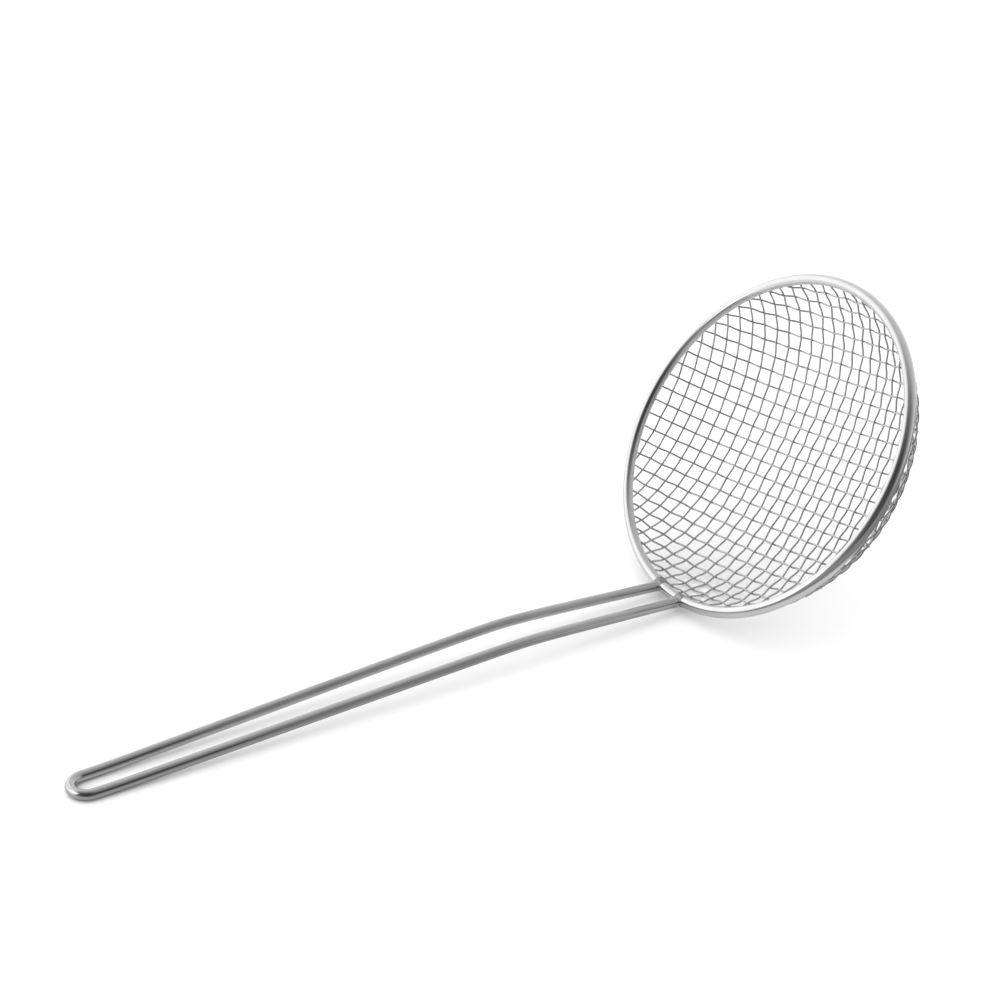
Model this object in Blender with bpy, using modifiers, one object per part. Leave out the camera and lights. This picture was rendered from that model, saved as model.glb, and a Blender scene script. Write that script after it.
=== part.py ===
"""Wire-mesh strainer: a woven bowl in a rolled rim, on a handle bent from one wire.

Metres, +Z up. The strainer rests on the floor on its handle loop and on the bowl.
+X runs from the handle loop to the bowl, and the plane Y = 0 divides the handle.
The origin is on the floor, below the middle of the whole object.
"""

import math

import bmesh
import bpy
import numpy as np
from mathutils import Vector

# ---------------------------------------------------------------- driving dimensions

OVERALL_LENGTH = 0.4010       # from the handle loop to the far side of the bowl
RIM_RADIUS = 0.0800           # edge of the bowl, inside the roll
RIM_TILT = math.radians(53.15)        # plane of the rim above the floor
ROLL_HALF_WIDTH = 0.00280
ROLL_HALF_HEIGHT = 0.00240
ROLL_DROOP = math.radians(60.0)       # outer end of the oval below its inner end
ROLL_LIFT = 0.00040           # middle of the roll above the edge of the bowl
ROLL_START = math.radians(-2.0)       # edges of the sheet beside the slot for the mesh,
ROLL_END = math.radians(272.0)        # counted round the oval from its outer end
RIM_SHEET = 0.00050           # thickness of the rolled sheet

BOWL_EDGE_SLOPE = math.radians(77.5)  # wall of the bowl where it enters the rim
BOWL_FLATNESS = 1.95          # 1 is a sphere, more is flatter in the middle

MESH_WIRE_RADIUS = 0.00045
MESH_GAP = 0.0003             # clearance between crossing wires
WARP_PITCH = 0.00616
WEFT_PITCH = 0.00690
WARP_PHASE = -0.279           # place of the first warp wire beside the pole, in pitches
WEFT_PHASE = 0.440
WARP_TURN = math.radians(8.5)         # warp wires, from the line of the handle
WEFT_TURN = math.radians(9.5)         # weft wires, from the line across the handle
WARP_RANGE = range(-14, 16)   # 30 wires
WEFT_RANGE = range(-13, 13)   # 26 wires

HANDLE_WIRE_RADIUS = 0.00235
LOOP_SPACING = 0.0143         # middle to middle of the two rods at the loop
ROD_SPREAD = 0.0257           # widening of the rods from the loop on, per length
ROD_CLOSING = 0.0330          # narrowing of the rods past their widest place
ROD_WIDEST = 0.0900           # distance of the widest place from the foot of the rim
ROD_WIDEST_EASE = 0.0200      # length over which the widening turns into narrowing
ROD_RISE = 0.0452             # slope up from the floor towards the bend
ROD_FALL = 0.0760             # slope down from the bend to the rim
LIFT_PLACE = 0.0173           # where the rods leave the floor, from the loop's end
LIFT_EASE = 0.0100
BEND_PLACE = 0.0823           # distance of the bend from the foot of the rim
BEND_EASE = 0.0134
JOINT_GAP = 0.0003            # clearance where the rods meet the rim

FLOOR_GAP = 0.00005

# ---------------------------------------------------------------- shape of the bowl

MERIDIAN_STEPS = 600


def bowl_meridian():
    """Arc length, radius and depth below the rim of one line from the pole to the rim."""
    share = np.linspace(0.0, 1.0, MERIDIAN_STEPS + 1)
    slope = BOWL_EDGE_SLOPE * share ** BOWL_FLATNESS
    middle = (slope[1:] + slope[:-1]) / 2
    radius = np.concatenate([[0.0], np.cumsum(np.cos(middle))])
    height = np.concatenate([[0.0], np.cumsum(np.sin(middle))])
    scale = RIM_RADIUS / radius[-1]
    arc = share * MERIDIAN_STEPS * scale
    return arc, radius * scale, (height[-1] - height) * scale


ARC, RADIUS, DEPTH = bowl_meridian()
ARC_END = float(ARC[-1])
CRIMP = MESH_WIRE_RADIUS + MESH_GAP / 2
MESH_HALF = CRIMP + MESH_WIRE_RADIUS


def rim_place():
    """Middle of the rim: the mesh just clears the floor, the ends meet the length."""
    sine, cosine = math.sin(RIM_TILT), math.cos(RIM_TILT)
    lowest = float(np.max(RADIUS * sine + DEPTH * cosine))
    reach = float(np.max(RADIUS * cosine + DEPTH * sine)) + MESH_HALF
    return Vector((OVERALL_LENGTH / 2 - reach, 0.0, lowest + MESH_HALF + FLOOR_GAP))


RIM_PLACE = rim_place()
RIM_FOOT = RIM_PLACE - RIM_RADIUS * Vector((math.cos(RIM_TILT), 0.0, math.sin(RIM_TILT)))


def bowl_point(flat):
    """Point of the bowl, in its own frame, at arc distances flat from the pole."""
    arc = flat.length
    if arc < 1e-9:
        return Vector((0.0, 0.0, -float(DEPTH[0])))
    over = max(arc - ARC_END, 0.0)
    radius = float(np.interp(arc, ARC, RADIUS)) + over * math.cos(BOWL_EDGE_SLOPE)
    depth = float(np.interp(arc, ARC, DEPTH)) - over * math.sin(BOWL_EDGE_SLOPE)
    return Vector((flat.x / arc * radius, flat.y / arc * radius, -depth))


def bowl_normal(flat):
    """Unit vector out of the bowl's surface towards its inside."""
    arc = flat.length
    if arc < 1e-9:
        return Vector((0.0, 0.0, 1.0))
    slope = BOWL_EDGE_SLOPE * min(arc / ARC_END, 1.0) ** BOWL_FLATNESS
    outward = flat / arc
    return Vector((-outward.x * math.sin(slope), -outward.y * math.sin(slope), math.cos(slope)))


# ---------------------------------------------------------------- layout of the mesh

WARP_ALONG = Vector((math.cos(WARP_TURN), math.sin(WARP_TURN)))
WEFT_ALONG = Vector((math.sin(WEFT_TURN), -math.cos(WEFT_TURN)))


def fourth_corner(along_warp, along_weft, guess):
    """Flat place one weft pitch from along_warp and one warp pitch from along_weft.

    along_warp lies back along the warp wire and along_weft back along the weft wire.
    """
    targets = ((bowl_point(along_warp), WEFT_PITCH), (bowl_point(along_weft), WARP_PITCH))

    def misses(place):
        point = bowl_point(place)
        return [(point - corner).length - pitch for corner, pitch in targets]

    step = 1e-6
    place = guess.copy()
    for _ in range(8):
        here = misses(place)
        in_x = misses(place + Vector((step, 0.0)))
        in_y = misses(place + Vector((0.0, step)))
        slopes = np.array([
            [(in_x[0] - here[0]) / step, (in_y[0] - here[0]) / step],
            [(in_x[1] - here[1]) / step, (in_y[1] - here[1]) / step],
        ])
        move = np.linalg.solve(slopes, [-here[0], -here[1]])
        place += Vector((float(move[0]), float(move[1])))
        if max(abs(move)) < 1e-9:
            break
    return place


def mesh_crossings():
    """Flat place of every crossing, by weft and warp number, one pitch apart on the bowl."""
    margin = ARC_END + 2 * WEFT_PITCH
    start = (WEFT_PHASE * WEFT_PITCH) * WARP_ALONG + (WARP_PHASE * WARP_PITCH) * WEFT_ALONG
    places = {(0, 0): start}
    wefts = range(WEFT_RANGE[0] - 2, WEFT_RANGE[-1] + 3)
    warps = range(WARP_RANGE[0] - 2, WARP_RANGE[-1] + 3)
    for weft in wefts:
        places[weft, 0] = start + weft * WEFT_PITCH * WARP_ALONG
    for warp in warps:
        places[0, warp] = start + warp * WARP_PITCH * WEFT_ALONG
    for side in (1, -1):
        for way in (1, -1):
            for weft in (n * side for n in range(1, 20) if n * side in wefts):
                for warp in (n * way for n in range(1, 20) if n * way in warps):
                    behind = places.get((weft - side, warp - way))
                    along_warp = places.get((weft - side, warp))
                    along_weft = places.get((weft, warp - way))
                    if None in (behind, along_warp, along_weft) or behind.length > margin:
                        continue
                    guess = along_warp + along_weft - behind
                    places[weft, warp] = fourth_corner(along_warp, along_weft, guess)
    return places


def wire_path(places, numbers, crimp_sign):
    """Points of one crimped wire through its crossings, cut off inside the rolled rim."""
    steps = [(places[key], crimp_sign * (-1) ** sum(key)) for key in numbers if key in places]
    points = []
    last = None
    for flat, side in steps:
        point = bowl_point(flat) + side * CRIMP * bowl_normal(flat)
        inside = flat.length < ARC_END
        if last is not None and inside != last[0]:
            share = (ARC_END - last[1].length) / (flat.length - last[1].length)
            points.append(last[2].lerp(point, share))
        if inside:
            points.append(point)
        last = (inside, flat, point)
    return points


# ---------------------------------------------------------------- Blender helpers

def clear_scene():
    for thing in list(bpy.data.objects):
        bpy.data.objects.remove(thing, do_unlink=True)


def new_collection(name):
    collection = bpy.data.collections.new(name)
    bpy.context.scene.collection.children.link(collection)
    return collection


def steel(name, grey, roughness):
    material = bpy.data.materials.new(name)
    material.use_nodes = True
    shader = material.node_tree.nodes["Principled BSDF"]
    shader.inputs["Base Color"].default_value = (grey, grey, grey, 1.0)
    shader.inputs["Metallic"].default_value = 1.0
    shader.inputs["Roughness"].default_value = roughness
    return material


def add_object(name, data, collection, parent=None):
    thing = bpy.data.objects.new(name, data)
    collection.objects.link(thing)
    thing.parent = parent
    return thing


def wire_object(name, points, radius, sides_level, material, collection, parent=None):
    """A round wire with closed ends along straight pieces between the points."""
    curve = bpy.data.curves.new(name, "CURVE")
    curve.dimensions = "3D"
    curve.bevel_depth = radius
    curve.bevel_resolution = sides_level
    curve.use_fill_caps = True
    spline = curve.splines.new("POLY")
    spline.points.add(len(points) - 1)
    for slot, point in zip(spline.points, points):
        slot.co = (*point, 1.0)
    spline.use_smooth = True
    curve.materials.append(material)
    return add_object(name, curve, collection, parent)


def curve_to_mesh(thing, collection):
    """The same wire as a mesh with its end caps joined on, for cutting."""
    bpy.context.view_layer.update()
    evaluated = thing.evaluated_get(bpy.context.evaluated_depsgraph_get())
    mesh = bpy.data.meshes.new_from_object(evaluated)
    shape = bmesh.new()
    shape.from_mesh(mesh)
    bmesh.ops.remove_doubles(shape, verts=shape.verts, dist=1e-6)
    shape.to_mesh(mesh)
    shape.free()
    name = thing.name
    place = thing.matrix_world.copy()
    bpy.data.objects.remove(thing, do_unlink=True)
    result = add_object(name, mesh, collection)
    result.matrix_world = place
    return result


def ring_object(name, outline, steps, material, collection, parent):
    """A closed outline in the XZ plane turned once round Z."""
    mesh = bpy.data.meshes.new(name)
    shape = bmesh.new()
    corners = [shape.verts.new(point) for point in outline]
    for start, end in zip(corners, corners[1:] + corners[:1]):
        shape.edges.new((start, end))
    shape.to_mesh(mesh)
    shape.free()
    if material:
        mesh.materials.append(material)
    ring = add_object(name, mesh, collection, parent)
    screw = ring.modifiers.new("turn", "SCREW")
    screw.axis = "Z"
    screw.steps = steps
    screw.render_steps = steps
    screw.use_merge_vertices = True
    screw.merge_threshold = 0.00001
    screw.use_smooth_shade = True
    return ring


# ---------------------------------------------------------------- the pieces

def roll_point(turn, half_width, half_height):
    """Point of the drooping oval section of the rim, turn radians from its outer end."""
    along = half_width * math.cos(turn)
    across = half_height * math.sin(turn)
    sine, cosine = math.sin(ROLL_DROOP), math.cos(ROLL_DROOP)
    return Vector((RIM_RADIUS + along * cosine + across * sine, 0.0,
                   ROLL_LIFT + across * cosine - along * sine))


def rim_outline():
    """Section of the rolled sheet: round the outside, then back round the inside."""
    count = 10
    turns = [ROLL_END + (ROLL_START - ROLL_END) * n / count for n in range(count + 1)]
    outside = [roll_point(turn, ROLL_HALF_WIDTH, ROLL_HALF_HEIGHT) for turn in turns]
    inside = [
        roll_point(turn, ROLL_HALF_WIDTH - RIM_SHEET, ROLL_HALF_HEIGHT - RIM_SHEET)
        for turn in reversed(turns)
    ]
    return outside + inside


def make_rim(collection, parent):
    ring_object("rolled_rim", rim_outline(), 64, steel("rim_steel", 0.72, 0.22),
                collection, parent)


def make_mesh(collection, parent):
    places = mesh_crossings()
    wefts = range(WEFT_RANGE[0] - 2, WEFT_RANGE[-1] + 3)
    warps = range(WARP_RANGE[0] - 2, WARP_RANGE[-1] + 3)
    for number, warp in enumerate(WARP_RANGE, 1):
        name = f"warp_wire_{number:02d}"
        points = wire_path(places, [(weft, warp) for weft in wefts], 1)
        wire_object(name, points, MESH_WIRE_RADIUS, 0, steel(name + "_steel", 0.55, 0.35),
                    collection, parent)
    for number, weft in enumerate(WEFT_RANGE, 1):
        name = f"weft_wire_{number:02d}"
        points = wire_path(places, [(weft, warp) for warp in warps], -1)
        wire_object(name, points, MESH_WIRE_RADIUS, 0, steel(name + "_steel", 0.55, 0.35),
                    collection, parent)


def ramp(x, ease):
    """0 before x = 0 and x after it, with a soft corner."""
    return (x + math.hypot(x, ease)) / 2


def rod_height(x):
    """Height of the rods' middle: flat on the floor, up to the bend, down to the rim."""
    lift_x = -OVERALL_LENGTH / 2 + LIFT_PLACE
    bend_x = RIM_FOOT.x - BEND_PLACE
    climb = ROD_RISE * ramp(x - lift_x, LIFT_EASE)
    fall = (ROD_RISE + ROD_FALL) * ramp(x - bend_x, BEND_EASE)
    return HANDLE_WIRE_RADIUS + FLOOR_GAP + climb - fall


def rod_side(x):
    """Half the distance between the rods."""
    loop_x = -OVERALL_LENGTH / 2 + HANDLE_WIRE_RADIUS + LOOP_SPACING / 2
    widest_x = RIM_FOOT.x - ROD_WIDEST
    spread = ROD_SPREAD * (x - loop_x)
    closing = (ROD_SPREAD + ROD_CLOSING) * ramp(x - widest_x, ROD_WIDEST_EASE)
    return (LOOP_SPACING + spread - closing) / 2


def handle_path():
    """Down one rod, round the loop and back up the other rod."""
    loop_radius = LOOP_SPACING / 2
    loop_x = -OVERALL_LENGTH / 2 + HANDLE_WIRE_RADIUS + loop_radius
    count = 24
    rod = []
    for n in range(count):
        x = RIM_FOOT.x + (loop_x - RIM_FOOT.x) * n / count
        rod.append((x, rod_side(x)))
    turn = 10
    loop = []
    for n in range(turn + 1):
        angle = math.pi * n / turn
        loop.append((loop_x - loop_radius * math.sin(angle), loop_radius * math.cos(angle)))
    back = [(x, -y) for x, y in reversed(rod)]
    return [Vector((x, y, rod_height(x))) for x, y in rod + loop + back]


def make_handle(collection, cutters, parent):
    """The hairpin wire, with both ends hollowed to sit against the rim."""
    wire = wire_object("handle_wire", handle_path(), HANDLE_WIRE_RADIUS, 4,
                       steel("handle_steel", 0.60, 0.25), collection)
    handle = curve_to_mesh(wire, collection)
    half_width, half_height = ROLL_HALF_WIDTH + JOINT_GAP, ROLL_HALF_HEIGHT + JOINT_GAP
    turns = [-2 * math.pi * n / 24 for n in range(24)]
    outline = [roll_point(turn, half_width, half_height) for turn in turns]
    cutter = ring_object("rim_clearance", outline, 96, None, cutters, parent)
    cutter.hide_render = True
    cutter.display_type = "WIRE"
    seat = handle.modifiers.new("seat", "BOOLEAN")
    seat.operation = "DIFFERENCE"
    seat.object = cutter
    handle.data.shade_smooth()
    handle.data.set_sharp_from_angle(angle=math.radians(40))


def main():
    clear_scene()
    parts = new_collection("mesh_strainer")
    cutters = new_collection("cutters")
    bowl_frame = add_object("bowl_frame", None, parts)
    bowl_frame.location = RIM_PLACE
    bowl_frame.rotation_euler = (0.0, -RIM_TILT, 0.0)
    make_handle(parts, cutters, bowl_frame)
    make_rim(parts, bowl_frame)
    make_mesh(parts, bowl_frame)


main()
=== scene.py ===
"""Wire-mesh strainer: its looks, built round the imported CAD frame. Metres, +Z up.

Each woven wire, the rolled rim and the handle wire get a finer piece that stands for
their CAD node. The dimensions below repeat the CAD's, so a piece's surface lies within
0.4 mm of its node's. Only the ends at the rim differ more: the mesh wires stop up to
1.2 mm short inside the roll, and the rods run 3.5 mm further into it. The two welds
stand for no node.
"""

import math

import bmesh
import bpy
import numpy as np
from mathutils import Matrix, Vector


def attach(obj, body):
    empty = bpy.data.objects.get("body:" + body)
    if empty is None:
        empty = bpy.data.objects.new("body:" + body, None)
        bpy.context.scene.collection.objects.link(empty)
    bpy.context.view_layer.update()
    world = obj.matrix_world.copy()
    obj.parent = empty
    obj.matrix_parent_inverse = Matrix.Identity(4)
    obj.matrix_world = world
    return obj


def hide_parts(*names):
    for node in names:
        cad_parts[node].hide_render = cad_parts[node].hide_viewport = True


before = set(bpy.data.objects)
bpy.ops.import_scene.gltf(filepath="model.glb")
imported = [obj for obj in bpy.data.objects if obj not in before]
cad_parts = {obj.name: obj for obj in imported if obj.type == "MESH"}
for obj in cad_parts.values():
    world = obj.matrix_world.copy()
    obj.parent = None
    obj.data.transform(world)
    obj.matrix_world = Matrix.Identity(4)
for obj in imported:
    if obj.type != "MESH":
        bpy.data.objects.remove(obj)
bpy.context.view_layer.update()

# ---------------------------------------------------------------- driving dimensions

OVERALL_LENGTH = 0.4010       # from the handle loop to the far side of the bowl
RIM_RADIUS = 0.0800           # edge of the bowl, inside the roll
RIM_TILT = math.radians(53.15)        # plane of the rim, from the floor
ROLL_HALF_WIDTH = 0.00280
ROLL_HALF_HEIGHT = 0.00240
ROLL_DROOP = math.radians(60.0)       # long axis of the oval, down towards the outside
ROLL_LIFT = 0.00040           # middle of the roll above the edge of the bowl
ROLL_START = math.radians(-2.0)       # edges of the sheet beside the slot for the mesh,
ROLL_END = math.radians(272.0)        # counted round the oval from its outer end
RIM_SHEET = 0.00050           # thickness of the rolled sheet

BOWL_EDGE_SLOPE = math.radians(77.5)  # wall of the bowl where it meets the rim
BOWL_FLATNESS = 1.95          # 1 is a sphere, more is flatter in the middle
MERIDIAN_STEPS = 600          # for adding up the line from the pole to the rim

MESH_WIRE_RADIUS = 0.00045
MESH_GAP = 0.0003             # clearance between crossing wires in the frame
WOVEN_CRIMP = 0.00044         # here the wires touch
WARP_PITCH = 0.00616
WEFT_PITCH = 0.00690
WARP_PHASE = -0.279           # place of crossing 0, 0 from the pole, in pitches along the weft
WEFT_PHASE = 0.440            # and along the warp
WARP_TURN = math.radians(8.5)         # warp wires, from the line of the handle
WEFT_TURN = math.radians(9.5)         # weft wires, from the line across the handle
WARP_RANGE = range(-14, 16)   # 30 wires
WEFT_RANGE = range(-13, 13)   # 26 wires
NET_MARGIN = 2                # crossings worked out past the last wires

HANDLE_WIRE_RADIUS = 0.00235
LOOP_SPACING = 0.0143         # middle to middle of the two rods at the loop
ROD_SPREAD = 0.0257           # widening of the rods from the loop on, per length
ROD_CLOSING = 0.0330          # narrowing of the rods past their widest place
ROD_WIDEST = 0.0900           # distance of the widest place from the foot of the rim
ROD_WIDEST_EASE = 0.0200      # length over which the widening turns into narrowing
ROD_RISE = 0.0452             # slope up from the floor towards the bend
ROD_FALL = 0.0760             # slope down from the bend to the rim
LIFT_PLACE = 0.0173           # where the rods leave the floor, from the loop's end
LIFT_EASE = 0.0100            # length over which the slope comes on
BEND_PLACE = 0.0823           # distance of the bend from the foot of the rim
BEND_EASE = 0.0134            # length over which it bends

JOINT_LAP = 0.0016            # how far the rods run past the foot of the rim
WELD_WIDTH = 0.0054           # along the rim
WELD_GROWTH = 0.00030         # how far a weld stands out of the roll
WELD_SINK = 0.25              # share of that by which its ends sink below the roll

FLOOR_GAP = 0.00005

# ---------------------------------------------------------------- view and light

# Azimuths are degrees to the right of straight away from the camera.
CAMERA_TURN = math.radians(31.059)    # the camera looks this far from +Y towards +X
CAMERA_TILT = math.radians(28.632)    # and this far down
CAMERA_DISTANCE = 1.11468
CAMERA_OFFSET = (-0.11893, -0.01792)  # to the right and up, from facing the bowl
CAMERA_LENS = 88.51           # millimetres, on a sensor 36 wide
FACED_HEIGHT = 0.060          # height of the point that it would face, under the rim's middle

SKY_BASE = 1.0
SKY_DARKEST = 0.02            # the mirrored sky is nowhere darker
SKY_PATCHES = [               # azimuth, elevation, cosines where it starts and is full, weight
    (-72.0, 15.0, 0.60, 0.77, 0.40),
    (-172.0, 24.0, 0.0, 1.0, -0.60),
    (140.0, 60.0, -0.20, 0.80, -0.355),
]
SKY_FILL = 1.32               # what lights the floor and casts the soft shadows
SKY_LEAN = 0.45               # how much brighter that is from the left
SKY_LEAN_FROM = -95.0         # azimuth
SKY_BACKDROP = 0.85           # what the camera itself sees above the floor
LAMP_PLACE = (-90.0, 78.0, 3.0)       # azimuth, elevation and distance
LAMP_SIZE = 2.4
LAMP_POWER = 4.0
CARDS = [                     # name, azimuth, elevation, distance from the loop, sides, glow
    ("dark_card", 134.0, 27.0, 0.50, (0.20, 0.30), 0.08),
    ("white_card", -104.0, 33.0, 0.30, (0.24, 0.20), 1.8),
]
FLOOR_HALF_SIZE = 30.0
FLOOR_ALBEDO = 0.90
PAINTED_FLOOR_SHADE_IN_STEEL = (0.21, 0.74)         # painted shade of the floor as the steel mirrors it: camera side, far side
PAINTED_SHADE_CHANGE = (-0.05, 0.03)          # Y where the painted shade on the camera side turns into the far side
PAINTED_LIGHT_POOL = 0.42             # painted pool of light: how much lighter the camera side is before the bowl
PAINTED_POOL_PLACE = (0.12, -0.07, 0.0)
PAINTED_POOL_EDGE = (0.09, 0.04)      # distances from there where the painted pool of light starts and is full


# ---------------------------------------------------------------- shape of the bowl

def bowl_meridian():
    """Arc length, radius and depth below the rim of one line from the pole to the rim."""
    share = np.linspace(0.0, 1.0, MERIDIAN_STEPS + 1)
    slope = BOWL_EDGE_SLOPE * share ** BOWL_FLATNESS
    middle = (slope[1:] + slope[:-1]) / 2
    radius = np.concatenate([[0.0], np.cumsum(np.cos(middle))])
    height = np.concatenate([[0.0], np.cumsum(np.sin(middle))])
    scale = RIM_RADIUS / radius[-1]
    arc = share * MERIDIAN_STEPS * scale
    return arc, radius * scale, (height[-1] - height) * scale


ARC, RADIUS, DEPTH = bowl_meridian()
ARC_END = float(ARC[-1])
AT_POLE = 1e-9                # arc below which a place counts as the pole
MESH_HALF = 2 * MESH_WIRE_RADIUS + MESH_GAP / 2


def rim_place():
    """Middle of the rim: the mesh just clears the floor, the ends meet the length."""
    sine, cosine = math.sin(RIM_TILT), math.cos(RIM_TILT)
    lowest = float(np.max(RADIUS * sine + DEPTH * cosine))
    reach = float(np.max(RADIUS * cosine + DEPTH * sine)) + MESH_HALF
    return Vector((OVERALL_LENGTH / 2 - reach, 0.0, lowest + MESH_HALF + FLOOR_GAP))


RIM_PLACE = rim_place()
RIM_FOOT = RIM_PLACE - RIM_RADIUS * Vector((math.cos(RIM_TILT), 0.0, math.sin(RIM_TILT)))
BOWL_FRAME = Matrix.Translation(RIM_PLACE) @ Matrix.Rotation(-RIM_TILT, 4, "Y")


def bowl_point(flat):
    """Point of the bowl, in its own frame, at arc distances flat from the pole."""
    arc = flat.length
    if arc < AT_POLE:
        return Vector((0.0, 0.0, -float(DEPTH[0])))
    over = max(arc - ARC_END, 0.0)
    radius = float(np.interp(arc, ARC, RADIUS)) + over * math.cos(BOWL_EDGE_SLOPE)
    depth = float(np.interp(arc, ARC, DEPTH)) - over * math.sin(BOWL_EDGE_SLOPE)
    return Vector((flat.x / arc * radius, flat.y / arc * radius, -depth))


def bowl_normal(flat):
    """Unit vector out of the bowl's surface towards its inside."""
    arc = flat.length
    if arc < AT_POLE:
        return Vector((0.0, 0.0, 1.0))
    slope = BOWL_EDGE_SLOPE * min(arc / ARC_END, 1.0) ** BOWL_FLATNESS
    outward = flat / arc
    return Vector((-outward.x * math.sin(slope), -outward.y * math.sin(slope), math.cos(slope)))


# ---------------------------------------------------------------- layout of the mesh

WARP_ALONG = Vector((math.cos(WARP_TURN), math.sin(WARP_TURN)))
WEFT_ALONG = Vector((math.sin(WEFT_TURN), -math.cos(WEFT_TURN)))
NET_WARPS = range(WARP_RANGE[0] - NET_MARGIN, WARP_RANGE[-1] + NET_MARGIN + 1)
NET_WEFTS = range(WEFT_RANGE[0] - NET_MARGIN, WEFT_RANGE[-1] + NET_MARGIN + 1)


def fourth_corner(along_warp, along_weft, guess):
    """Flat place one weft pitch from along_warp and one warp pitch from along_weft.

    These are its neighbours along the warp wire and along the weft wire.
    """
    targets = ((bowl_point(along_warp), WEFT_PITCH), (bowl_point(along_weft), WARP_PITCH))

    def misses(place):
        point = bowl_point(place)
        return [(point - corner).length - pitch for corner, pitch in targets]

    step = 1e-6
    close_enough = 1e-9
    rounds = 8
    place = guess.copy()
    for _ in range(rounds):
        here = misses(place)
        in_x = misses(place + Vector((step, 0.0)))
        in_y = misses(place + Vector((0.0, step)))
        slopes = np.array([
            [(in_x[0] - here[0]) / step, (in_y[0] - here[0]) / step],
            [(in_x[1] - here[1]) / step, (in_y[1] - here[1]) / step],
        ])
        move = np.linalg.solve(slopes, [-here[0], -here[1]])
        place += Vector((float(move[0]), float(move[1])))
        if max(abs(move)) < close_enough:
            break
    return place


def outwards(numbers, side):
    """The numbers on one side of 0, from the nearest on."""
    return sorted((n for n in numbers if n * side > 0), key=abs)


def mesh_crossings():
    """Flat place of every crossing, by weft and warp number, one pitch apart on the bowl."""
    margin = ARC_END + NET_MARGIN * WEFT_PITCH
    start = (WEFT_PHASE * WEFT_PITCH) * WARP_ALONG + (WARP_PHASE * WARP_PITCH) * WEFT_ALONG
    places = {(0, 0): start}
    for weft in NET_WEFTS:
        places[weft, 0] = start + weft * WEFT_PITCH * WARP_ALONG
    for warp in NET_WARPS:
        places[0, warp] = start + warp * WARP_PITCH * WEFT_ALONG
    for side in (1, -1):
        for way in (1, -1):
            for weft in outwards(NET_WEFTS, side):
                for warp in outwards(NET_WARPS, way):
                    behind = places.get((weft - side, warp - way))
                    along_warp = places.get((weft - side, warp))
                    along_weft = places.get((weft, warp - way))
                    if None in (behind, along_warp, along_weft) or behind.length > margin:
                        continue
                    guess = along_warp + along_weft - behind
                    places[weft, warp] = fourth_corner(along_warp, along_weft, guess)
    return places


def woven_path(places, crossings, crimp_sign):
    """Points of one smoothly crimped wire through its crossings, cut off in the rim."""
    steps = 6
    keys = [key for key in crossings if key in places]
    knots = [places[key] for key in keys]
    signs = [crimp_sign * (-1) ** sum(key) for key in keys]
    points = []
    for n in range(len(knots) - 1):
        before = knots[n - 1] if n else 2 * knots[0] - knots[1]
        last = n == len(knots) - 2
        after = 2 * knots[n + 1] - knots[n] if last else knots[n + 2]
        for step in range(steps):
            t = step / steps
            flat = 0.5 * (
                2 * knots[n]
                + (knots[n + 1] - before) * t
                + (2 * before - 5 * knots[n] + 4 * knots[n + 1] - after) * t ** 2
                + (3 * knots[n] - before - 3 * knots[n + 1] + after) * t ** 3
            )
            lift = signs[n] * math.cos(math.pi * t) * WOVEN_CRIMP
            if flat.length < ARC_END:
                points.append(bowl_point(flat) + lift * bowl_normal(flat))
    return points


# ---------------------------------------------------------------- mesh helpers

def add_object(name, data):
    thing = bpy.data.objects.new(name, data)
    bpy.context.scene.collection.objects.link(thing)
    return thing


def skin_rings(name, rings, layout, closed=False):
    """A smooth mesh over rings of points, capped at both ends or closed into a loop.

    layout gives each point's "place" attribute, which the steel's streaks follow.
    """
    shape = bmesh.new()
    layer = shape.verts.layers.float_vector.new("place")
    loops = []
    for ring, spots in zip(rings, layout):
        loops.append([])
        for point, spot in zip(ring, spots):
            vert = shape.verts.new(point)
            vert[layer] = spot
            loops[-1].append(vert)
    sides = len(loops[0])
    for first, second in zip(loops, loops[1:] + (loops[:1] if closed else [])):
        for k in range(sides):
            j = (k + 1) % sides
            shape.faces.new((first[k], first[j], second[j], second[k]))
    if not closed:
        shape.faces.new(loops[0][::-1])
        shape.faces.new(loops[-1])
    bmesh.ops.recalc_face_normals(shape, faces=shape.faces)
    mesh = bpy.data.meshes.new(name)
    shape.to_mesh(mesh)
    shape.free()
    mesh.shade_smooth()
    return mesh


def tube_mesh(name, points, radii, sides, up=None):
    """A round tube. Its "place" attribute holds metres along it and the way round it.

    up, where given, keeps its sides level. Otherwise they turn no more than they must.
    """
    last = len(points) - 1
    side = None
    rings, layout = [], []
    along = 0.0
    for n, (point, radius) in enumerate(zip(points, radii)):
        tangent = (points[min(n + 1, last)] - points[max(n - 1, 0)]).normalized()
        if side is None:
            side = tangent.orthogonal().normalized()
        if up is not None:
            side = tangent.cross(up).normalized()
        else:
            side = (side - side.dot(tangent) * tangent).normalized()
        over = side.cross(tangent)
        if n:
            along += (point - points[n - 1]).length
        ways = [(math.cos(2 * math.pi * k / sides), math.sin(2 * math.pi * k / sides))
                for k in range(sides)]
        rings.append([point + radius * (x * side + y * over) for x, y in ways])
        layout.append([(along, x, y) for x, y in ways])
    return skin_rings(name, rings, layout)


def rounded_ends(points, radius, round_over, steps):
    """Points and radii of a wire whose two cut ends are rounded over."""
    result = [(point, radius) for point in points]
    for end in (0, -1):
        tip = result[end][0]
        inner = result[1][0] if end == 0 else result[-2][0]
        out = (tip - inner).normalized()
        cap = []
        for n in range(1, steps + 1):
            angle = math.pi / 2 * n / steps
            cap.append((tip + out * round_over * math.sin(angle),
                        radius - round_over * (1 - math.cos(angle))))
        if end == 0:
            result = cap[::-1] + result
        else:
            result = result + cap
    return [p for p, _ in result], [r for _, r in result]


# ---------------------------------------------------------------- materials

def node(tree, kind, links=(), **settings):
    """A new node with its settings, and with (output, input name or number) links."""
    made = tree.nodes.new(kind)
    for key, value in settings.items():
        setattr(made, key, value)
    for output, socket in links:
        tree.links.new(output, made.inputs[socket])
    return made


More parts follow.
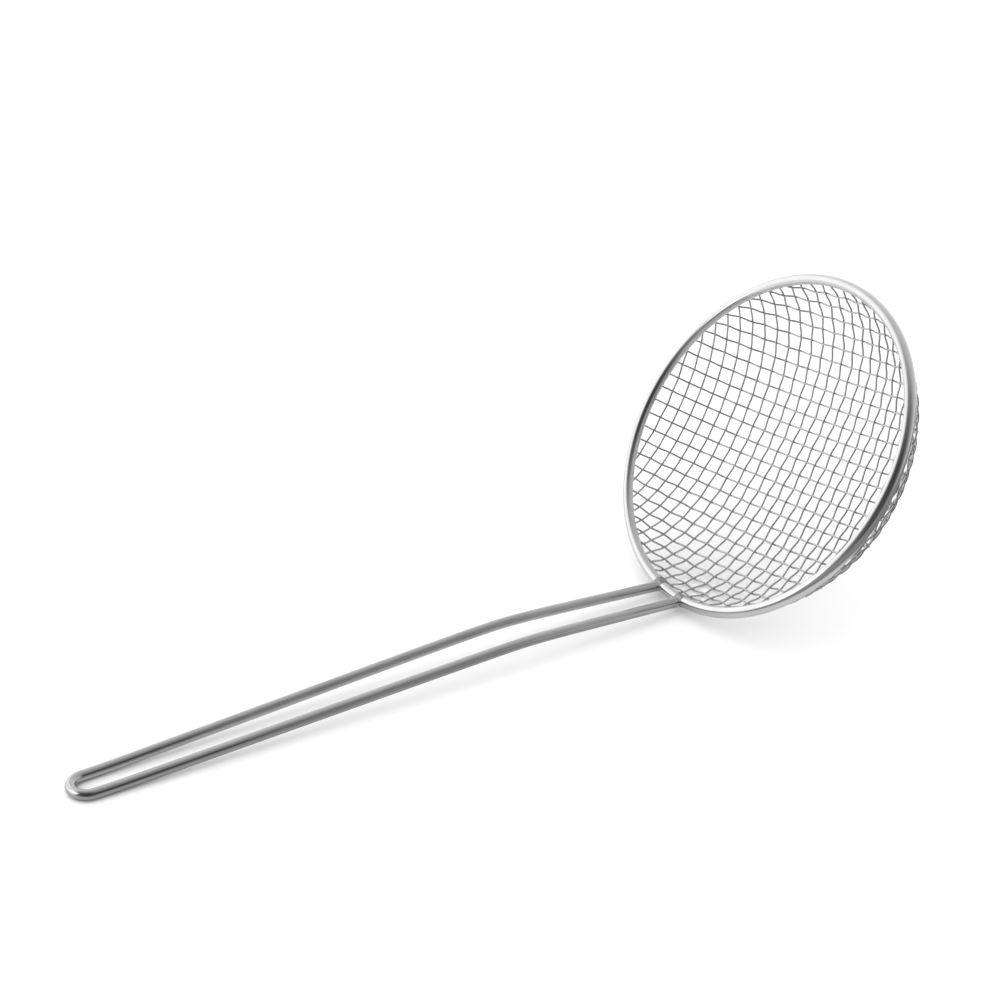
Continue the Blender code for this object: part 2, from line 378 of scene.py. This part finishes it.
def map_range(tree, value, start, end, low, high, smooth=True):
    """value from start to end, turned into low to high."""
    kind = "SMOOTHSTEP" if smooth else "LINEAR"
    made = node(tree, "ShaderNodeMapRange", [(value, "Value")], interpolation_type=kind)
    for socket, number in (("From Min", start), ("From Max", end),
                           ("To Min", low), ("To Max", high)):
        made.inputs[socket].default_value = number
    return made


def noise(tree, vector, scale, detail):
    made = node(tree, "ShaderNodeTexNoise", [(vector, "Vector")])
    made.inputs["Scale"].default_value = scale
    made.inputs["Detail"].default_value = detail
    return made


def new_material(name):
    """A new material, its node tree and its Principled shader."""
    material = bpy.data.materials.new(name)
    material.use_nodes = True
    return material, material.node_tree, material.node_tree.nodes["Principled BSDF"]


def steel(name, dark, light, roughness, grain, streak, bump):
    """Bright drawn or rolled steel with streaks along it and faint blotches.

    dark, light and roughness are ranges of tone; grain is the scale of the blotches,
    streak that of the streaks along the three "place" directions, bump their depth.
    """
    material, tree, shader = new_material(name)
    shader.inputs["Metallic"].default_value = 1.0
    place = node(tree, "ShaderNodeAttribute", attribute_name="place")
    stretch = node(tree, "ShaderNodeVectorMath", [(place.outputs["Vector"], 0)],
                   operation="MULTIPLY")
    stretch.inputs[1].default_value = streak
    streaks = noise(tree, stretch.outputs[0], scale=1.0, detail=4.0)
    streaks.inputs["Roughness"].default_value = 0.6
    where = node(tree, "ShaderNodeTexCoord")
    blotches = noise(tree, where.outputs["Object"], scale=grain, detail=3.0)
    half = node(tree, "ShaderNodeMath", [(blotches.outputs["Fac"], 0)], operation="MULTIPLY")
    half.inputs[1].default_value = 0.5
    both = node(tree, "ShaderNodeMath", [(streaks.outputs["Fac"], 0), (half.outputs[0], 2)],
                operation="MULTIPLY_ADD")
    both.inputs[1].default_value = 0.5
    start, end = 0.3, 0.7
    tone = node(tree, "ShaderNodeValToRGB", [(both.outputs[0], "Fac")])
    for stop, position, colour in zip(tone.color_ramp.elements, (start, end), (dark, light)):
        stop.position = position
        stop.color = (*colour, 1.0)
    tree.links.new(tone.outputs["Color"], shader.inputs["Base Color"])
    gloss = map_range(tree, both.outputs[0], start, end, *roughness, smooth=False)
    tree.links.new(gloss.outputs["Result"], shader.inputs["Roughness"])
    ridges = node(tree, "ShaderNodeBump", [(streaks.outputs["Fac"], "Height")])
    ridges.inputs["Strength"].default_value = 0.4
    ridges.inputs["Distance"].default_value = bump
    tree.links.new(ridges.outputs["Normal"], shader.inputs["Normal"])
    return material


# ---------------------------------------------------------------- the pieces

def finish_piece(name, mesh, material, slot, *nodes):
    """Put a piece on the body. nodes are the CAD nodes that it stands for."""
    mesh.materials.append(material)
    piece = add_object(name, mesh)
    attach(piece, "root")
    if nodes:
        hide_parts(*nodes)


def roll_point(turn, half_width, half_height):
    """Point of the drooping oval section of the rim, turn radians from its outer end."""
    along = half_width * math.cos(turn)
    across = half_height * math.sin(turn)
    sine, cosine = math.sin(ROLL_DROOP), math.cos(ROLL_DROOP)
    return Vector((RIM_RADIUS + along * cosine + across * sine, 0.0,
                   ROLL_LIFT + across * cosine - along * sine))


def round_the_bowl(outline, angle):
    """The points of a section in the XZ plane, turned round the bowl's axis."""
    spin = Matrix.Rotation(angle, 4, "Z")
    return [BOWL_FRAME @ (spin @ point) for point in outline]


def make_rim():
    """The rolled sheet, turned once round the bowl."""
    count = 40
    steps = 288
    turns = [ROLL_END + (ROLL_START - ROLL_END) * n / count for n in range(count + 1)]
    outline = [roll_point(turn, ROLL_HALF_WIDTH, ROLL_HALF_HEIGHT) for turn in turns]
    outline += [
        roll_point(turn, ROLL_HALF_WIDTH - RIM_SHEET, ROLL_HALF_HEIGHT - RIM_SHEET)
        for turn in reversed(turns)
    ]
    rings, layout = [], []
    for step in range(steps):
        angle = 2 * math.pi * step / steps
        rings.append(round_the_bowl(outline, angle))
        layout.append([(math.cos(angle) * RIM_RADIUS, math.sin(angle) * RIM_RADIUS, turn)
                       for turn in turns + turns[::-1]])
    mesh = skin_rings("rim", rings, layout, closed=True)
    mesh.set_sharp_from_angle(angle=math.radians(50))
    material = steel("rolled_steel", dark=(0.64, 0.64, 0.645), light=(0.74, 0.74, 0.745),
                     roughness=(0.07, 0.14), grain=60.0, streak=(500.0, 500.0, 30.0),
                     bump=0.00002)
    finish_piece("rim", mesh, material, "rim_steel", "rolled_rim")


def ramp(x, ease):
    """0 before x = 0 and x after it, with a soft corner."""
    return (x + math.hypot(x, ease)) / 2


def rod_height(x):
    """Height of the rods' middle: flat on the floor, up to the bend, down to the rim."""
    lift_x = -OVERALL_LENGTH / 2 + LIFT_PLACE
    bend_x = RIM_FOOT.x - BEND_PLACE
    climb = ROD_RISE * ramp(x - lift_x, LIFT_EASE)
    fall = (ROD_RISE + ROD_FALL) * ramp(x - bend_x, BEND_EASE)
    return HANDLE_WIRE_RADIUS + FLOOR_GAP + climb - fall


def rod_side(x):
    """Half the distance between the rods."""
    loop_x = -OVERALL_LENGTH / 2 + HANDLE_WIRE_RADIUS + LOOP_SPACING / 2
    widest_x = RIM_FOOT.x - ROD_WIDEST
    spread = ROD_SPREAD * (x - loop_x)
    closing = (ROD_SPREAD + ROD_CLOSING) * ramp(x - widest_x, ROD_WIDEST_EASE)
    return (LOOP_SPACING + spread - closing) / 2


def handle_path():
    """Down one rod, round the loop and back up the other rod."""
    loop_radius = LOOP_SPACING / 2
    loop_x = -OVERALL_LENGTH / 2 + HANDLE_WIRE_RADIUS + loop_radius
    end_x = RIM_FOOT.x + JOINT_LAP
    count = 140
    rod = []
    for n in range(count):
        x = end_x + (loop_x - end_x) * n / count
        rod.append((x, rod_side(x)))
    steps = 40
    loop = []
    for n in range(steps + 1):
        angle = math.pi * n / steps
        loop.append((loop_x - loop_radius * math.sin(angle), loop_radius * math.cos(angle)))
    back = [(x, -y) for x, y in reversed(rod)]
    return [Vector((x, y, rod_height(x))) for x, y in rod + loop + back]


def make_handle():
    points, radii = rounded_ends(handle_path(), HANDLE_WIRE_RADIUS, round_over=0.0004, steps=4)
    mesh = tube_mesh("handle", points, radii, sides=32, up=Vector((0, 0, 1)))
    material = steel("drawn_steel", dark=(0.48, 0.48, 0.485), light=(0.60, 0.60, 0.605),
                     roughness=(0.09, 0.17), grain=80.0, streak=(60.0, 9.0, 9.0),
                     bump=0.00002)
    finish_piece("handle", mesh, material, "handle_steel", "handle_wire")


def make_welds():
    """A bead of weld round the roll at the end of each rod. Its dark tone is partly the weld's
    own colour and partly painted shade of the crevice where rod meets rim.
    """
    # dark tone: partly the weld's colour, partly painted shade of the crevice between rod and
    # rim
    material = steel("weld_steel_painted_shade", dark=(0.22, 0.22, 0.22), light=(0.42, 0.42, 0.42),
                     roughness=(0.22, 0.40), grain=300.0, streak=(900.0, 900.0, 3.0),
                     bump=0.00006)
    across = 16
    sides = 32
    wander = 0.001                # how far its streaks move as they go round the roll
    turns = [2 * math.pi * k / sides for k in range(sides)]
    for number, side in enumerate((-1, 1), 1):
        middle = math.pi - math.asin(side * rod_side(RIM_FOOT.x) / RIM_RADIUS)
        rings, layout = [], []
        for step in range(across + 1):
            share = 2 * step / across - 1
            bulge = (1 + WELD_SINK) * math.sqrt(1 - share * share) - WELD_SINK
            grown = WELD_GROWTH * bulge
            along = share * WELD_WIDTH / 2
            outline = [roll_point(turn, ROLL_HALF_WIDTH + grown, ROLL_HALF_HEIGHT + grown)
                       for turn in turns]
            rings.append(round_the_bowl(outline, middle + along / RIM_RADIUS))
            layout.append([(along, wander * math.cos(turn), math.sin(turn)) for turn in turns])
        mesh = skin_rings(f"weld_{number}", rings, layout)
        finish_piece(f"weld_{number}", mesh, material, "handle_steel")


def make_mesh():
    places = mesh_crossings()
    material = steel("woven_steel", dark=(0.50, 0.50, 0.505), light=(0.66, 0.66, 0.665),
                     roughness=(0.22, 0.36), grain=120.0, streak=(300.0, 4.0, 4.0),
                     bump=0.00001)
    runs = [("warp", number, [(weft, warp) for weft in NET_WEFTS], 1)
            for number, warp in enumerate(WARP_RANGE, 1)]
    runs += [("weft", number, [(weft, warp) for warp in NET_WARPS], -1)
             for number, weft in enumerate(WEFT_RANGE, 1)]
    for kind, number, keys, crimp_sign in runs:
        points = [BOWL_FRAME @ p for p in woven_path(places, keys, crimp_sign)]
        mesh = tube_mesh(f"{kind}_{number:02d}", points, [MESH_WIRE_RADIUS] * len(points),
                         sides=10)
        finish_piece(f"{kind}_{number:02d}", mesh, material, "mesh_steel",
                     f"{kind}_wire_{number:02d}")


# ---------------------------------------------------------------- stage, light and camera

def compass(azimuth, elevation):
    """Unit vector at degrees to the right of straight away from the camera, and up."""
    turn = CAMERA_TURN + math.radians(azimuth)
    rise = math.radians(elevation)
    return (math.sin(turn) * math.cos(rise), math.cos(turn) * math.cos(rise), math.sin(rise))


def make_floor():
    """A pale floor. In the steel's reflections only, painted shade darkens it on the camera's
    side, apart from a painted pool of light.
    """
    mesh = bpy.data.meshes.new("floor")
    far = FLOOR_HALF_SIZE
    mesh.from_pydata([(-far, -far, 0), (far, -far, 0), (far, far, 0), (-far, far, 0)],
                     [], [(0, 1, 2, 3)])
    floor = add_object("floor", mesh)
    material, tree, shader = new_material("floor_white_painted_shade")
    shader.inputs["Roughness"].default_value = 0.9
    shader.inputs["Specular IOR Level"].default_value = 0.1
    where = node(tree, "ShaderNodeTexCoord").outputs["Object"]
    split = node(tree, "ShaderNodeSeparateXYZ", [(where, 0)])
    # painted shade on the floor, seen only in the steel: darker on the camera side
    near, beyond = PAINTED_FLOOR_SHADE_IN_STEEL
    glossy_floor_shade = map_range(tree, split.outputs["Y"], *PAINTED_SHADE_CHANGE, near, beyond)
    # painted pool of light before the bowl, also seen only in the steel
    reach = node(tree, "ShaderNodeVectorMath", [(where, 0)], operation="DISTANCE")
    reach.inputs[1].default_value = PAINTED_POOL_PLACE
    glossy_floor_pool = map_range(tree, reach.outputs["Value"], *PAINTED_POOL_EDGE, near, near + PAINTED_LIGHT_POOL)
    tree.links.new(glossy_floor_pool.outputs["Result"], glossy_floor_shade.inputs["To Min"])
    path = node(tree, "ShaderNodeLightPath")
    shade = node(tree, "ShaderNodeMix", [(path.outputs["Is Glossy Ray"], "Factor"),
                                         (glossy_floor_shade.outputs["Result"], "B")], data_type="FLOAT")
    shade.inputs["A"].default_value = FLOOR_ALBEDO
    tree.links.new(shade.outputs["Result"], shader.inputs["Base Color"])
    mesh.materials.append(material)


def make_card(name, azimuth, elevation, distance, sides, glow):
    """A card near the handle's loop that shows only in reflections."""
    away = Vector(compass(azimuth, elevation))
    loop = Vector((-OVERALL_LENGTH / 2, 0.0, 2 * HANDLE_WIRE_RADIUS))
    middle = loop + distance * away
    across = away.cross(Vector((0, 0, 1))).normalized() * sides[0] / 2
    over = across.normalized().cross(away) * sides[1] / 2
    mesh = bpy.data.meshes.new(name)
    corners = [middle - across - over, middle + across - over,
               middle + across + over, middle - across + over]
    mesh.from_pydata([tuple(corner) for corner in corners], [], [(0, 1, 2, 3)])
    card = add_object(name, mesh)
    material, _, shader = new_material(name)
    shader.inputs["Base Color"].default_value = (0.0, 0.0, 0.0, 1.0)
    shader.inputs["Specular IOR Level"].default_value = 0.0
    shader.inputs["Emission Color"].default_value = (1.0, 1.0, 1.0, 1.0)
    shader.inputs["Emission Strength"].default_value = glow
    mesh.materials.append(material)
    card.visible_camera = False
    card.visible_diffuse = False
    card.visible_shadow = False


def sky_patch(tree, where, azimuth, elevation, low, high, weight):
    """A soft patch of sky round a direction: 0 at cosine low, weight at cosine high."""
    dot = node(tree, "ShaderNodeVectorMath", [(where, 0)], operation="DOT_PRODUCT")
    dot.inputs[1].default_value = compass(azimuth, elevation)
    return map_range(tree, dot.outputs["Value"], low, high, 0.0, weight).outputs["Result"]


def make_world():
    """One sky for the steel to mirror, one that lights the floor, one for the camera."""
    world = bpy.data.worlds.new("studio")
    bpy.context.scene.world = world
    world.use_nodes = True
    tree = world.node_tree
    background = tree.nodes["Background"]
    where = node(tree, "ShaderNodeTexCoord").outputs["Generated"]
    total = node(tree, "ShaderNodeValue")
    total.outputs[0].default_value = SKY_BASE
    for patch in SKY_PATCHES:
        links = [(total.outputs[0], 0), (sky_patch(tree, where, *patch), 1)]
        total = node(tree, "ShaderNodeMath", links, operation="ADD")
    mirrored = node(tree, "ShaderNodeMath", [(total.outputs[0], 0)], operation="MAXIMUM")
    mirrored.inputs[1].default_value = SKY_DARKEST
    lean = node(tree, "ShaderNodeVectorMath", [(where, 0)], operation="DOT_PRODUCT")
    lean.inputs[1].default_value = compass(SKY_LEAN_FROM, 0.0)
    fill = node(tree, "ShaderNodeMath", [(lean.outputs["Value"], 0)], operation="MULTIPLY_ADD")
    fill.inputs[1].default_value = SKY_LEAN
    fill.inputs[2].default_value = SKY_FILL
    path = node(tree, "ShaderNodeLightPath")
    unseen = node(tree, "ShaderNodeMix", [(path.outputs["Is Glossy Ray"], "Factor"),
                                          (fill.outputs[0], "A"),
                                          (mirrored.outputs[0], "B")], data_type="FLOAT")
    seen = node(tree, "ShaderNodeMix", [(path.outputs["Is Camera Ray"], "Factor"),
                                        (unseen.outputs["Result"], "A")], data_type="FLOAT")
    seen.inputs["B"].default_value = SKY_BACKDROP
    tree.links.new(seen.outputs["Result"], background.inputs["Color"])
    background.inputs["Strength"].default_value = 1.0


def make_lamp():
    """A wide soft lamp overhead that shows in no reflection."""
    azimuth, elevation, distance = LAMP_PLACE
    data = bpy.data.lights.new("overhead", "AREA")
    data.shape = "DISK"
    data.size = LAMP_SIZE
    data.energy = LAMP_POWER
    lamp = add_object("overhead", data)
    lamp.location = Vector(compass(azimuth, elevation)) * distance
    lamp.rotation_euler = lamp.location.to_track_quat("Z", "Y").to_euler()
    lamp.visible_glossy = False


def make_camera():
    """At the height, side and distance that the object is seen from."""
    skywards = Vector((0, 0, 1))
    right = Vector((math.cos(CAMERA_TURN), -math.sin(CAMERA_TURN), 0.0))
    away = Vector((math.sin(CAMERA_TURN), math.cos(CAMERA_TURN), 0.0))
    forward = math.cos(CAMERA_TILT) * away - math.sin(CAMERA_TILT) * skywards
    up = math.sin(CAMERA_TILT) * away + math.cos(CAMERA_TILT) * skywards
    target = Vector((RIM_PLACE.x, 0.0, FACED_HEIGHT))
    aside, raised = CAMERA_OFFSET
    place = target + aside * right + raised * up - CAMERA_DISTANCE * forward
    data = bpy.data.cameras.new("camera")
    data.sensor_width = 36.0
    data.lens = CAMERA_LENS
    data.clip_start = 0.01
    camera = add_object("camera", data)
    camera.matrix_world = Matrix((
        (right.x, up.x, -forward.x, place.x),
        (right.y, up.y, -forward.y, place.y),
        (right.z, up.z, -forward.z, place.z),
        (0.0, 0.0, 0.0, 1.0),
    ))
    bpy.context.scene.camera = camera


make_camera()
make_rim()
make_handle()
make_welds()
make_mesh()
make_floor()
for card in CARDS:
    make_card(*card)
make_world()
make_lamp()
bpy.context.scene.view_settings.view_transform = "Standard"
